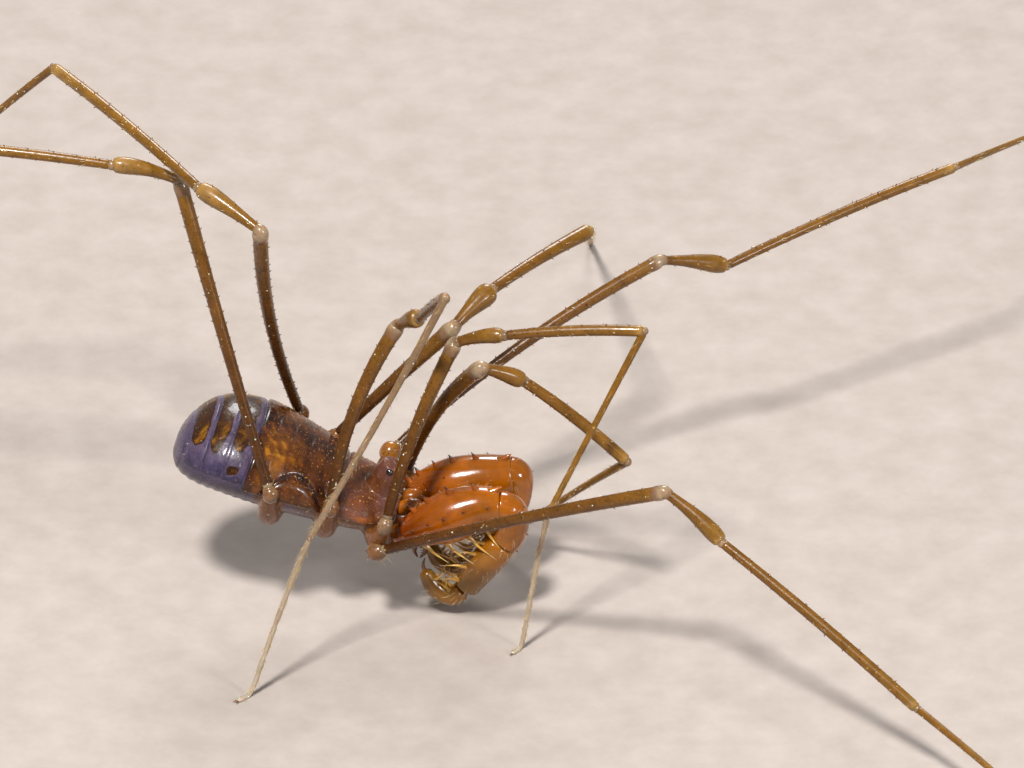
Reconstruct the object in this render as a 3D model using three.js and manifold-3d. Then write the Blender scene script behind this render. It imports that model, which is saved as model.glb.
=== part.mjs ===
// A cave harvestman standing with bent legs, life size. Millimetres, +Z up, head towards +X.
// The animal's right side is towards -Y. The floor is at z = 0.
import * as THREE from 'three';
import Module from 'manifold-3d';
import { mergeVertices } from 'three/addons/utils/BufferGeometryUtils.js';

const wasm = await Module();
wasm.setup();

// Driving dimensions
const GAP = 0.1;
const ORIGIN = new THREE.Vector3(-2.025, 0.765, 0);
const BODY_PLACE = new THREE.Vector3(-5.55, 0, 3.62);
const BODY_YAW = -8;
const BODY_PITCH = 17;

const COLOURS = {
  scutum: 0x6e3a10,
  carapace: 0x7d3c14,
  tergite: 0x6b4420,
  venter: 0x6a5a78,
  eye: 0x0a0808,
  palp: 0xb9560b,
  chelicera: 0xa84a0a,
  spine: 0x3a1606,
  femur: 0x7d4f18,
  patella: 0xb08738,
  tibia: 0xa67c30,
  metatarsus: 0xb5965a,
  tarsus: 0xc4b48c,
};

// Trunk stations: along the body, centre above the axis, half width, half height up, half height down.
const TRUNK = [
  [-2.92, -0.35, 0.42, 0.3, 0.3],
  [-2.72, -0.25, 0.95, 0.62, 0.6],
  [-2.4, -0.12, 1.35, 0.9, 0.82],
  [-1.95, 0.0, 1.6, 1.08, 0.95],
  [-1.3, 0.08, 1.72, 1.12, 1.02],
  [-0.6, 0.08, 1.7, 1.06, 1.02],
  [0.1, 0.03, 1.6, 0.95, 0.98],
  [0.8, -0.02, 1.45, 0.8, 0.92],
  [1.4, -0.06, 1.32, 0.54, 0.86],
  [2.0, -0.08, 1.22, 0.46, 0.8],
  [2.5, -0.1, 1.02, 0.42, 0.66],
  [2.85, -0.14, 0.72, 0.34, 0.44],
];
const TRUNK_SIDES = 24;
const PLATE_RIM = -0.12;

// Where the back's plates part, along the body.
const PLATES = [
  ['anal_plate', -3.2, -2.68],
  ['free_tergite_3', -2.68, -2.15],
  ['free_tergite_2', -2.15, -1.62],
  ['free_tergite_1', -1.62, -1.02],
  ['scutum', -1.02, 1.32],
  ['carapace', 1.32, 3.4],
];

// The eye mound: a blunt cone near the front of the carapace, with an eye low on either side of its top.
const MOUND = { foot: { along: 2.28, high: 0.1, radius: 0.52 }, top: { along: 2.37, high: 0.78, radius: 0.31 } };
const EYE = { side: 0.25, along: 2.37, high: 0.98, radius: 0.12, room: 0.05 };

// Legs: where each coxa ends on the body (along, left, up), then the joints down to the toe.
const LEG_PARTS = ['femur', 'patella', 'tibia', 'metatarsus', 'tarsus'];
const LEGS = {
  right_1: {
    joints: [
      [-3.18, -1.85, 2.98], [-1.42, -0.1, 7.3], [-0.18, -0.42, 7.72],
      [3.3, -0.9, 8.15], [0.88, -2.6, 3.77], [0.25, -2.8, 0.2],
    ],
    bows: [[-0.15, 0.05], [0, 0.08], [0, 0.08], [0, 0.02], [0, 0.12]],
    toe: [-0.25, -0.35],
  },
  left_1: {
    joints: [
      [-2.66, 1.15, 2.72], [-0.78, -0.6, 6.88], [0.3, -0.3, 6.3],
      [2.88, -1.1, 4.43], [0.45, 1.6, 0.97], [-0.7, 2.4, 0.2],
    ],
    bows: [[-0.15, 0.28], [0, 0.05], [0, 0.1], [0, 0.05], [0, 0.05]],
    toe: [-0.5, 0.3],
  },
  right_2: {
    joints: [
      [-3.4, -1.75, 2.17], [3.8, -4.7, 5.8], [5.22, -5.5, 4.82],
      [10.07, -8.6, 1.89], [14.3, -13.4, 0.55], [16.0, -15.4, 0.2],
    ],
    bows: [[0, 0.1], [0.05, 0.05], [0, 0.08], [0, 0.1], [0, 0.05]],
    toe: [0.5, -0.55],
  },
  left_2: {
    joints: [
      [-3.05, 1.7, 2.97], [3.73, 5.2, 6.45], [5.4, 6.0, 5.8],
      [11.2, 9.6, 6.5], [14.4, 15.0, 4.65], [15.9, 17.0, 0.2],
    ],
    bows: [[-0.5, 0.75], [0, 0.05], [0, 0.1], [0, 0.03], [0, 0.1]],
    toe: [0.3, 0.5],
  },
  right_3: {
    joints: [
      [-4.53, -1.8, 3.5], [-2.85, -0.42, 8.01], [-2.3, -1.25, 8.75],
      [-1.65, -3.1, 10.5], [-5.05, -4.2, 4.1], [-6.5, -5.0, 0.2],
    ],
    bows: [[-0.28, 0.1], [0, 0.05], [0, 0.05], [0.1, 0.1], [0, 0.15]],
    toe: [-0.35, -0.35],
  },
  left_3: {
    joints: [
      [-4.47, 1.6, 3.44], [-1.47, 1.6, 6.7], [-0.5, 2.6, 7.2],
      [1.95, 5.5, 7.14], [2.0, 12.6, 2.72], [2.0, 16.4, 0.2],
    ],
    bows: [[0.05, 0.1], [0, 0.05], [0, 0.08], [0, 0], [0, 0]],
    toe: [0.0, 0.4],
  },
  right_4: {
    joints: [
      [-6.03, -1.95, 3.98], [-8.28, 0.8, 11.5], [-9.97, 0.75, 12.0],
      [-16.3, 1.6, 12.2], [-19.3, -2.8, 4.3], [-20.2, -5.6, 0.2],
    ],
    bows: [[-0.3, 0], [0, 0.05], [0, 0.1], [0, 0.15], [-0.15, 0.1]],
    toe: [-0.35, -0.4],
  },
  left_4: {
    joints: [
      [-5.3, 1.8, 4.03], [-6.25, -1.6, 11.5], [-7.8, -0.5, 12.1],
      [-11.47, 4.6, 12.5], [-16.6, 8.2, 5.2], [-17.6, 9.4, 0.2],
    ],
    bows: [[-0.25, 0], [0, 0.05], [0, 0.1], [0, 0.15], [-0.15, 0.1]],
    toe: [-0.4, 0.35],
  },
};

// Thickness of each leg part: radius at its root, middle and end, with the knee-cap swollen at its end.
const LEG_RADII = {
  femur: [0.25, 0.25, 0.27],
  patella: [0.25, 0.29, 0.3],
  tibia: [0.25, 0.25, 0.26],
  metatarsus: [0.25, 0.24, 0.24],
  tarsus: [0.23, 0.2, 0.13],
};
const TROCHANTER_RADIUS = 0.36;
const COXA_RADIUS = 0.42;
const LEG_SIDES = 6;
const FOOT_SINK = 0.8;

const rad = THREE.MathUtils.degToRad;
const group = new THREE.Group();
const root = new THREE.Group();
root.position.copy(ORIGIN).negate();
group.add(root);

// Body axes in the floor's frame.
const turn = new THREE.Matrix4()
  .makeRotationZ(rad(BODY_YAW))
  .multiply(new THREE.Matrix4().makeRotationY(rad(BODY_PITCH)));
const bodyFrame = new THREE.Matrix4().makeTranslation(BODY_PLACE).multiply(turn);

function onBody(along, left, up) {
  return new THREE.Vector3(along, left, up).applyMatrix4(bodyFrame);
}

function point(list) {
  return new THREE.Vector3(...list);
}

// A closed surface through rings of points, with a fan at each end.
function skinOf(rings) {
  const sides = rings[0].length;
  const places = rings.flat().flatMap((p) => [p.x, p.y, p.z]);
  const faces = [];
  for (let r = 0; r + 1 < rings.length; r += 1) {
    for (let s = 0; s < sides; s += 1) {
      const a = r * sides + s;
      const b = r * sides + (s + 1) % sides;
      faces.push(a, b, b + sides, a, b + sides, a + sides);
    }
  }
  const ends = [rings[0], rings[rings.length - 1]];
  ends.forEach((ring, end) => {
    const middle = places.length / 3;
    const centre = ring.reduce((sum, p) => sum.add(p), new THREE.Vector3()).divideScalar(sides);
    places.push(centre.x, centre.y, centre.z);
    const first = end * (rings.length - 1) * sides;
    for (let s = 0; s < sides; s += 1) {
      const a = first + s;
      const b = first + (s + 1) % sides;
      faces.push(...(end ? [a, b, middle] : [b, a, middle]));
    }
  });
  const geometry = new THREE.BufferGeometry();
  geometry.setAttribute('position', new THREE.Float32BufferAttribute(places, 3));
  geometry.setIndex(faces);
  return geometry;
}

// A round limb along a line of points, one radius for each point.
function limb(line, radii, sides = LEG_SIDES) {
  const rings = [];
  let side = new THREE.Vector3(0, 0, 1);
  line.forEach((place, i) => {
    const before = line[Math.max(i - 1, 0)];
    const after = line[Math.min(i + 1, line.length - 1)];
    const along = after.clone().sub(before).normalize();
    side = side.clone().addScaledVector(along, -side.dot(along));
    if (side.length() < 0.1) {
      side = new THREE.Vector3(1, 0, 0).addScaledVector(along, -along.x);
    }
    side.normalize();
    const across = along.clone().cross(side);
    const ring = [];
    for (let s = 0; s < sides; s += 1) {
      const angle = (2 * Math.PI * (s + 0.5)) / sides;
      ring.push(place.clone()
        .addScaledVector(side, radii[i] * Math.cos(angle))
        .addScaledVector(across, radii[i] * Math.sin(angle)));
    }
    rings.push(ring);
  });
  return skinOf(rings);
}

function ball(centre, radius, across = 10, down = 7) {
  const geometry = new THREE.SphereGeometry(radius, across, down);
  return geometry.translate(centre.x, centre.y, centre.z);
}

function cone(foot, way, length, radius, sides = 5) {
  const geometry = new THREE.ConeGeometry(radius, length, sides);
  geometry.translate(0, length / 2, 0);
  const aim = new THREE.Quaternion().setFromUnitVectors(new THREE.Vector3(0, 1, 0), way.clone().normalize());
  return geometry.applyQuaternion(aim).translate(foot.x, foot.y, foot.z);
}

function solidOf(geometry) {
  let clean = geometry.clone();
  clean.deleteAttribute('normal');
  clean.deleteAttribute('uv');
  clean = mergeVertices(clean, 1e-5);
  const mesh = new wasm.Mesh({
    numProp: 3,
    vertProperties: new Float32Array(clean.attributes.position.array),
    triVerts: new Uint32Array(clean.index.array),
  });
  return new wasm.Manifold(mesh);
}

function joined(geometries) {
  return geometries.map(solidOf).reduce((sum, next) => sum.add(next));
}

// The largest closed surface of a solid, as a geometry.
function geometryOf(solid) {
  const pieces = solid.decompose().sort((a, b) => b.volume() - a.volume());
  const mesh = pieces[0].getMesh();
  const geometry = new THREE.BufferGeometry();
  const places = [];
  for (let v = 0; v < mesh.numVert; v += 1) {
    const at = v * mesh.numProp;
    places.push(...mesh.vertProperties.slice(at, at + 3));
  }
  geometry.setAttribute('position', new THREE.Float32BufferAttribute(places, 3));
  geometry.setIndex(Array.from(mesh.triVerts));
  return geometry;
}

function add(name, geometry, colour, roughness = 0.4) {
  const material = new THREE.MeshStandardMaterial({ color: colour, roughness, metalness: 0 });
  const mesh = new THREE.Mesh(geometry, material);
  mesh.name = name;
  root.add(mesh);
}

// Trunk, whole, in the floor's frame.
function trunkRing([along, centre, half, up, down]) {
  const ring = [];
  for (let s = 0; s < TRUNK_SIDES; s += 1) {
    const angle = (2 * Math.PI * s) / TRUNK_SIDES;
    const rise = Math.sin(angle);
    ring.push(onBody(along, half * Math.cos(angle), centre + rise * (rise > 0 ? up : down)));
  }
  return ring;
}

function smoothStations(stations, steps) {
  const curve = new THREE.CatmullRomCurve3(stations.map((s) => new THREE.Vector3(s[0], s[1], s[2])));
  const heights = new THREE.CatmullRomCurve3(stations.map((s) => new THREE.Vector3(s[0], s[3], s[4])));
  const out = [];
  for (let i = 0; i <= steps; i += 1) {
    const a = curve.getPoint(i / steps);
    const b = heights.getPoint(i / steps);
    out.push([a.x, a.y, a.z, b.y, b.z]);
  }
  return out;
}

function block(fromAlong, toAlong, fromUp, toUp) {
  const geometry = new THREE.BoxGeometry(toAlong - fromAlong, 8, toUp - fromUp);
  geometry.translate((fromAlong + toAlong) / 2, 0, (fromUp + toUp) / 2);
  return geometry.applyMatrix4(bodyFrame);
}

const trunk = solidOf(skinOf(smoothStations(TRUNK, 20).map(trunkRing)));
const moundFoot = onBody(MOUND.foot.along, 0, MOUND.foot.high);
const moundTop = onBody(MOUND.top.along, 0, MOUND.top.high);
const mound = joined([
  limb([moundFoot, moundTop], [MOUND.foot.radius, MOUND.top.radius], 14),
  ball(moundTop, MOUND.top.radius * 1.02, 14, 10),
]);
const eyePlaces = {
  eye_left: onBody(EYE.along, EYE.side, EYE.high),
  eye_right: onBody(EYE.along, -EYE.side, EYE.high),
};

// Leg lines
function bowed(from, to, [bowForward, bowUp], steps) {
  const line = [];
  for (let i = 0; i <= steps; i += 1) {
    const t = i / steps;
    const rise = 4 * t * (1 - t);
    const place = from.clone().lerp(to, t);
    place.x += bowForward * rise;
    place.z += bowUp * rise;
    line.push(place);
  }
  return line;
}

function radiusAt(radii, t) {
  const [first, middle, last] = radii;
  return t < 0.5 ? first + (middle - first) * 2 * t : middle + (last - middle) * (2 * t - 1);
}

// Nothing of a foot reaches below the floor: what would is pressed flat on it.
function restOnFloor(geometry) {
  const places = geometry.attributes.position;
  for (let i = 0; i < places.count; i += 1) {
    places.setZ(i, Math.max(places.getZ(i), 0));
  }
  return geometry;
}

const coxaLimbs = [];
const femurRooms = [];

// The coxa runs from under the trunk's middle out to just short of the leg's first ball.
function coxaTo(place) {
  const local = place.clone().applyMatrix4(new THREE.Matrix4().copy(bodyFrame).invert());
  const inner = onBody(local.x * 0.9 + 0.1, local.y * 0.3, -0.3);
  const way = place.clone().sub(inner).normalize();
  const outer = place.clone().addScaledVector(way, -(TROCHANTER_RADIUS + GAP));
  return limb([inner, inner.clone().lerp(outer, 0.6), outer], [0.5, COXA_RADIUS, COXA_RADIUS * 0.8], 10);
}

// A chain of limbs. Each part has a round end, and the next is cut clear of it, so they meet face to face.
function chain(parts, sides) {
  const made = [];
  let room = null;
  parts.forEach(({ line, radii, extras = [] }, i) => {
    const last = line.length - 1;
    const round = ball(line[last], radii[last], sides, sides / 2);
    const pieces = [limb(line, radii, sides), ...extras];
    if (i + 1 < parts.length) {
      pieces.push(round);
    }
    let solid = joined(pieces);
    if (room) {
      solid = solid.subtract(room);
    }
    made.push(solid);
    room = joined([
      limb(line, radii.map((r) => r + GAP), sides),
      ball(line[last], radii[last] + GAP, sides, sides / 2),
    ]);
  });
  return made;
}

for (const [leg, { joints, bows, toe }] of Object.entries(LEGS)) {
  const places = joints.map(point);
  const parts = LEG_PARTS.map((part, i) => {
    const steps = part === 'patella' ? 3 : 5;
    const line = bowed(places[i], places[i + 1], bows[i], steps);
    const radii = line.map((_, k) => radiusAt(LEG_RADII[part], k / steps));
    const extras = [];
    if (part === 'femur') {
      extras.push(ball(places[0], TROCHANTER_RADIUS, 8, 6));
    }
    if (part === 'tarsus') {
      const thickness = LEG_RADII.tarsus[2];
      const heel = line[steps];
      heel.z = thickness * FOOT_SINK;
      const tip = new THREE.Vector3(heel.x + toe[0], heel.y + toe[1], heel.z);
      extras.push(limb([heel, tip], [thickness, thickness]));
    }
    return { line, radii, extras };
  });
  chain(parts, LEG_SIDES).forEach((solid, i) => {
    const part = LEG_PARTS[i];
    const geometry = geometryOf(solid);
    add(`leg_${leg}_${part}`, part === 'tarsus' ? restOnFloor(geometry) : geometry, COLOURS[part]);
  });
  coxaLimbs.push(coxaTo(places[0]));
  const thigh = parts[0];
  femurRooms.push(solidOf(limb(thigh.line, thigh.radii.map((r) => r + GAP), LEG_SIDES)));
}

// Pedipalps: raptorial, folded, with spined inner edges. Centre points, with a radius for each.
const PALPS = {
  right: {
    femur: [
      [-2.6, -1.2, 2.66, 0.3], [-2.18, -1.2, 2.84, 0.48], [-1.55, -1.2, 2.98, 0.6],
      [-0.85, -1.2, 3.13, 0.58], [-0.3, -1.2, 3.17, 0.44],
    ],
    patella: [
      [-0.3, -1.2, 3.17, 0.36], [0.0, -1.2, 2.88, 0.43],
      [-0.06, -1.2, 2.45, 0.44], [-0.24, -1.2, 2.14, 0.43],
    ],
    tibia: [
      [-0.24, -1.2, 2.14, 0.4], [-0.42, -1.2, 1.9, 0.45],
      [-0.8, -1.2, 1.36, 0.42], [-1.2, -1.2, 0.72, 0.32],
    ],
    tarsus: [[-1.2, -1.2, 0.72, 0.25], [-1.55, -1.15, 0.5, 0.25], [-1.95, -1.1, 0.75, 0.24], [-2.2, -1.05, 1.2, 0.16]],
  },
  left: {
    femur: [
      [-2.68, 0.36, 2.52, 0.3], [-2.2, 0.42, 2.62, 0.52], [-1.55, 0.42, 2.8, 0.66],
      [-0.8, 0.42, 2.96, 0.62], [-0.15, 0.42, 3.1, 0.5],
    ],
    patella: [
      [-0.15, 0.42, 3.1, 0.36], [0.06, 0.39, 2.82, 0.42],
      [0.02, 0.32, 2.4, 0.42], [-0.12, 0.27, 2.08, 0.41],
    ],
    tibia: [
      [-0.12, 0.27, 2.08, 0.37], [-0.26, 0.21, 1.86, 0.43],
      [-0.6, 0.15, 1.3, 0.4], [-1.0, 0.1, 0.8, 0.3],
    ],
    tarsus: [[-1.0, 0.1, 0.8, 0.25], [-1.4, 0.08, 0.6, 0.25], [-1.8, 0.06, 0.8, 0.24], [-2.05, 0.05, 1.25, 0.16]],
  },
};
const PALP_SIDES = 12;

// Rows of spines: where they start and end along the part, how many, which way they point, length, radius.
const PALP_SPINES = {
  femur: [
    { from: 0.12, to: 0.74, count: 5, way: [-0.15, 0, 1], splay: 0.25, length: 0.22, radius: 0.09 },
    { from: 0.2, to: 0.8, count: 4, way: [0.1, 0, -1], splay: 0.5, length: 0.5, radius: 0.12 },
  ],
  patella: [{ from: 0.55, to: 0.75, count: 2, way: [-1, 0, -0.1], splay: 0.8, length: 0.35, radius: 0.1 }],
  tibia: [{ from: 0.3, to: 0.85, count: 4, way: [-1, 0, 0.3], splay: 0.9, length: 0.6, radius: 0.12 }],
  tarsus: [{ from: 0.35, to: 0.7, count: 4, way: [0.2, 0, 1], splay: 0.9, length: 0.5, radius: 0.1 }],
};

// A row of spines on a limb, leaning to either side in turn, rooted well inside it.
function spineRow(line, radii, { from, to, count, way, splay, length, radius }) {
  const spines = [];
  const curve = new THREE.CatmullRomCurve3(line);
  for (let i = 0; i < count; i += 1) {
    const t = from + ((to - from) * i) / (count - 1);
    const place = curve.getPoint(t);
    const along = curve.getTangent(t);
    const aim = point(way);
    aim.y += splay * (i % 2 ? 1 : -1);
    aim.addScaledVector(along, -aim.dot(along)).normalize();
    const nearest = Math.min(Math.round(t * (radii.length - 1)), radii.length - 1);
    const sunk = 0.5 * radii[nearest];
    spines.push(cone(place.addScaledVector(aim, sunk), aim, radii[nearest] - sunk + length, radius * 1.3));
  }
  return spines;
}

const palpRooms = [];
for (const [side, parts] of Object.entries(PALPS)) {
  const names = Object.keys(parts);
  const links = names.map((name) => {
    const line = parts[name].map(([x, y, z]) => new THREE.Vector3(x, y, z));
    const radii = parts[name].map((row) => row[3]);
    const extras = PALP_SPINES[name].flatMap((row) => spineRow(line, radii, row));
    return { line, radii, extras };
  });
  chain(links, PALP_SIDES).forEach((solid, i) => {
    add(`palp_${side}_${names[i]}`, geometryOf(solid), COLOURS.palp, 0.25);
  });
  const [femur] = links;
  palpRooms.push(solidOf(limb(femur.line, femur.radii.map((r) => r + GAP), PALP_SIDES)));
}

// Trunk nodes, parted by thin cuts across and along the rim of the back.
const coxaSolids = coxaLimbs.map(solidOf);
const lowerHalf = solidOf(block(-4, 4, -4, PLATE_RIM - GAP / 2));
const legBalls = Object.values(LEGS)
  .map(({ joints }) => solidOf(ball(point(joints[0]), TROCHANTER_RADIUS + GAP, 8, 6)));
let venter = trunk.intersect(lowerHalf);
coxaSolids.forEach((coxa) => {
  venter = venter.add(coxa.intersect(lowerHalf));
});
legBalls.forEach((room) => {
  venter = venter.subtract(room);
});
palpRooms.forEach((room) => {
  venter = venter.subtract(room);
});
add('venter', geometryOf(venter), COLOURS.venter);

const eyeRooms = Object.values(eyePlaces).map((place) => solidOf(ball(place, EYE.radius + EYE.room, 12, 8)));
for (const [name, from, to] of PLATES) {
  const front = name === 'carapace' ? to : to - GAP / 2;
  let plate = trunk.intersect(solidOf(block(from + GAP / 2, front, PLATE_RIM + GAP / 2, 4)));
  if (name === 'carapace') {
    plate = plate.add(mound);
    eyeRooms.forEach((room) => {
      plate = plate.subtract(room);
    });
  }
  legBalls.forEach((room) => {
    plate = plate.subtract(room);
  });
  femurRooms.forEach((room) => {
    plate = plate.subtract(room);
  });
  add(name, geometryOf(plate), COLOURS[name] ?? COLOURS.tergite);
}
for (const [name, place] of Object.entries(eyePlaces)) {
  add(name, ball(place, EYE.radius, 12, 8), COLOURS.eye, 0.1);
}

// Chelicerae: a short stalk, a swollen hand and two fingers, side by side under the front of the carapace.
const CHELICERA = {
  stalk: [[-2.75, 2.72, 0.18], [-2.4, 2.72, 0.2]],
  hand: [[-2.4, 2.72, 0.2], [-2.22, 2.5, 0.22], [-2.15, 2.1, 0.22], [-2.22, 1.75, 0.17]],
  fixedFinger: [[-2.18, 1.8, 0.12], [-2.2, 1.5, 0.09], [-2.3, 1.3, 0.04]],
  movingFinger: [[-2.32, 1.85, 0.11], [-2.42, 1.6, 0.09], [-2.36, 1.36, 0.04]],
};
const CHELICERA_SIDE = { right: -0.62, left: -0.16 };
const trunkRoom = solidOf(skinOf(smoothStations(TRUNK, 20).map(([a, c, w, u, d]) => (
  trunkRing([a * (1 + GAP / 2.9), c, w + GAP, u + GAP, d + GAP])))));
for (const [side, y] of Object.entries(CHELICERA_SIDE)) {
  const bits = Object.values(CHELICERA).map((rows) => (
    limb(rows.map(([x, z]) => new THREE.Vector3(x, y, z)), rows.map((row) => row[2]), 10)));
  let solid = joined(bits).subtract(trunkRoom);
  palpRooms.forEach((room) => {
    solid = solid.subtract(room);
  });
  add(`chelicera_${side}`, geometryOf(solid), COLOURS.chelicera, 0.25);
}

group.updateMatrixWorld(true);
export default group;
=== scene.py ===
"""A cave harvestman, life size, standing on a plain floor. Metres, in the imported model's frame."""

import math

import bpy
import numpy as np
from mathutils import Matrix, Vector


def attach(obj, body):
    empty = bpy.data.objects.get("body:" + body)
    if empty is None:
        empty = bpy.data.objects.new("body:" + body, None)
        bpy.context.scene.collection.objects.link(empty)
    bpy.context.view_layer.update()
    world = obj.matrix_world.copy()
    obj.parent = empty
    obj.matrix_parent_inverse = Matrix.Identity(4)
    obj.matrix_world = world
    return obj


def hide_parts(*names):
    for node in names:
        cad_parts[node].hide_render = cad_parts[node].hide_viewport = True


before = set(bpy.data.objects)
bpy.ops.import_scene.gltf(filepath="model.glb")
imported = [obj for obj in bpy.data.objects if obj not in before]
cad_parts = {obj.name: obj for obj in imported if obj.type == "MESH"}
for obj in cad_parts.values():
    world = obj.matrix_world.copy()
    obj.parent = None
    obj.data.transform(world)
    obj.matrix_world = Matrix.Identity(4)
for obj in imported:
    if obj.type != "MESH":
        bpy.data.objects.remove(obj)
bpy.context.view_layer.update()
MM = 0.001
RNG = np.random.default_rng(17)

# The body's place and the model's origin, in millimetres, as the solids have them
ORIGIN = np.array([-2.025, 0.765, 0.0])
BODY_PLACE = np.array([-5.55, 0.0, 3.62])
BODY_YAW = math.radians(-8)
BODY_PITCH = math.radians(17)

# Along the body, centre above its axis, half width, half height up, half height down
TRUNK = np.array([
    [-2.94, -0.35, 0.05, 0.05, 0.05],
    [-2.9, -0.34, 0.42, 0.3, 0.3],
    [-2.72, -0.25, 0.95, 0.62, 0.6],
    [-2.4, -0.12, 1.35, 0.9, 0.82],
    [-1.95, 0.0, 1.6, 1.08, 0.95],
    [-1.3, 0.08, 1.72, 1.12, 1.02],
    [-0.6, 0.08, 1.7, 1.06, 1.02],
    [0.1, 0.03, 1.6, 0.95, 0.98],
    [0.8, -0.02, 1.45, 0.8, 0.92],
    [1.4, -0.06, 1.32, 0.54, 0.86],
    [2.0, -0.08, 1.22, 0.46, 0.8],
    [2.5, -0.1, 1.02, 0.42, 0.66],
    [2.85, -0.14, 0.72, 0.34, 0.44],
    [2.93, -0.16, 0.05, 0.05, 0.05],
])

LEG_PARTS = ["femur", "patella", "tibia", "metatarsus", "tarsus"]
LEGS = {
    "right_1": {
        "joints": [
            [-3.18, -1.85, 2.98], [-1.42, -0.1, 7.3], [-0.18, -0.42, 7.72],
            [3.3, -0.9, 8.15], [0.88, -2.6, 3.77], [0.25, -2.8, 0.2],
        ],
        "bows": [[-0.15, 0.05], [0, 0.08], [0, 0.08], [0, 0.02], [0, 0.12]],
        "toe": [-0.25, -0.35],
    },
    "left_1": {
        "joints": [
            [-2.66, 1.15, 2.72], [-0.78, -0.6, 6.88], [0.3, -0.3, 6.3],
            [2.88, -1.1, 4.43], [0.45, 1.6, 0.97], [-0.7, 2.4, 0.2],
        ],
        "bows": [[-0.15, 0.28], [0, 0.05], [0, 0.1], [0, 0.05], [0, 0.05]],
        "toe": [-0.5, 0.3],
    },
    "right_2": {
        "joints": [
            [-3.4, -1.75, 2.17], [3.8, -4.7, 5.8], [5.22, -5.5, 4.82],
            [10.07, -8.6, 1.89], [14.3, -13.4, 0.55], [16.0, -15.4, 0.2],
        ],
        "bows": [[0, 0.1], [0.05, 0.05], [0, 0.08], [0, 0.1], [0, 0.05]],
        "toe": [0.5, -0.55],
    },
    "left_2": {
        "joints": [
            [-3.05, 1.7, 2.97], [3.73, 5.2, 6.45], [5.4, 6.0, 5.8],
            [11.2, 9.6, 6.5], [14.4, 15.0, 4.65], [15.9, 17.0, 0.2],
        ],
        "bows": [[-0.15, 0.27], [0, 0.05], [0, 0.1], [0, 0.03], [0, 0.1]],
        "toe": [0.3, 0.5],
    },
    "right_3": {
        "joints": [
            [-4.53, -1.8, 3.5], [-2.85, -0.42, 8.01], [-2.3, -1.25, 8.75],
            [-1.65, -3.1, 10.5], [-5.05, -4.2, 4.1], [-6.5, -5.0, 0.2],
        ],
        "bows": [[-0.28, 0.1], [0, 0.05], [0, 0.05], [0.1, 0.1], [0, 0.15]],
        "toe": [-0.35, -0.35],
    },
    "left_3": {
        "joints": [
            [-4.47, 1.6, 3.44], [-1.47, 1.6, 6.7], [-0.5, 2.6, 7.2],
            [1.95, 5.5, 7.14], [2.0, 12.6, 2.72], [2.0, 16.4, 0.2],
        ],
        "bows": [[0.05, 0.1], [0, 0.05], [0, 0.08], [0, 0], [0, 0]],
        "toe": [0.0, 0.4],
    },
    "right_4": {
        "joints": [
            [-6.03, -1.95, 3.98], [-8.28, 0.8, 11.5], [-9.97, 0.75, 12.0],
            [-16.3, 1.6, 12.2], [-19.3, -2.8, 4.3], [-20.2, -5.6, 0.2],
        ],
        "bows": [[-0.05, 0.08], [0, 0.12], [0, 0.1], [0, 0.15], [-0.15, 0.1]],
        "toe": [-0.35, -0.4],
    },
    "left_4": {
        "joints": [
            [-5.3, 1.8, 4.03], [-6.25, -1.6, 11.5], [-7.8, -0.5, 12.1],
            [-11.47, 4.6, 12.5], [-16.6, 8.2, 5.2], [-17.6, 9.4, 0.2],
        ],
        "bows": [[-0.25, 0], [0, 0.05], [0, 0.1], [0, 0.15], [-0.15, 0.1]],
        "toe": [-0.4, 0.35],
    },
}

# True thickness of a leg: radius at the root, the middle, near the end and the end of each part
LEG_RADII = {
    "femur": [0.125, 0.15, 0.185, 0.165],
    "patella": [0.12, 0.15, 0.22, 0.17],
    "tibia": [0.125, 0.14, 0.145, 0.14],
    "metatarsus": [0.1, 0.082, 0.078, 0.08],
    "tarsus": [0.072, 0.066, 0.058, 0.046],
}
# Each leg's stoutness, its knee cap's radius, and its first ball beyond the body: radius and paleness
LEG_BUILD = {
    "right_1": (1.0, 0.2, 0.2, 0.62), "left_1": (1.08, 0.225, 0.21, 0.1),
    "right_2": (0.98, 0.22, 0.23, 0.35), "left_2": (0.92, 0.23, 0.27, 0.05),
    "right_3": (1.05, 0.24, 0.22, 0.4), "left_3": (1.12, 0.285, 0.22, 0.3),
    "right_4": (1.0, 0.22, 0.2, 0.5), "left_4": (1.04, 0.24, 0.22, 0.3),
}
TARSUS_JOINTS = {"1": 7, "2": 14, "3": 6, "4": 7}

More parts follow.
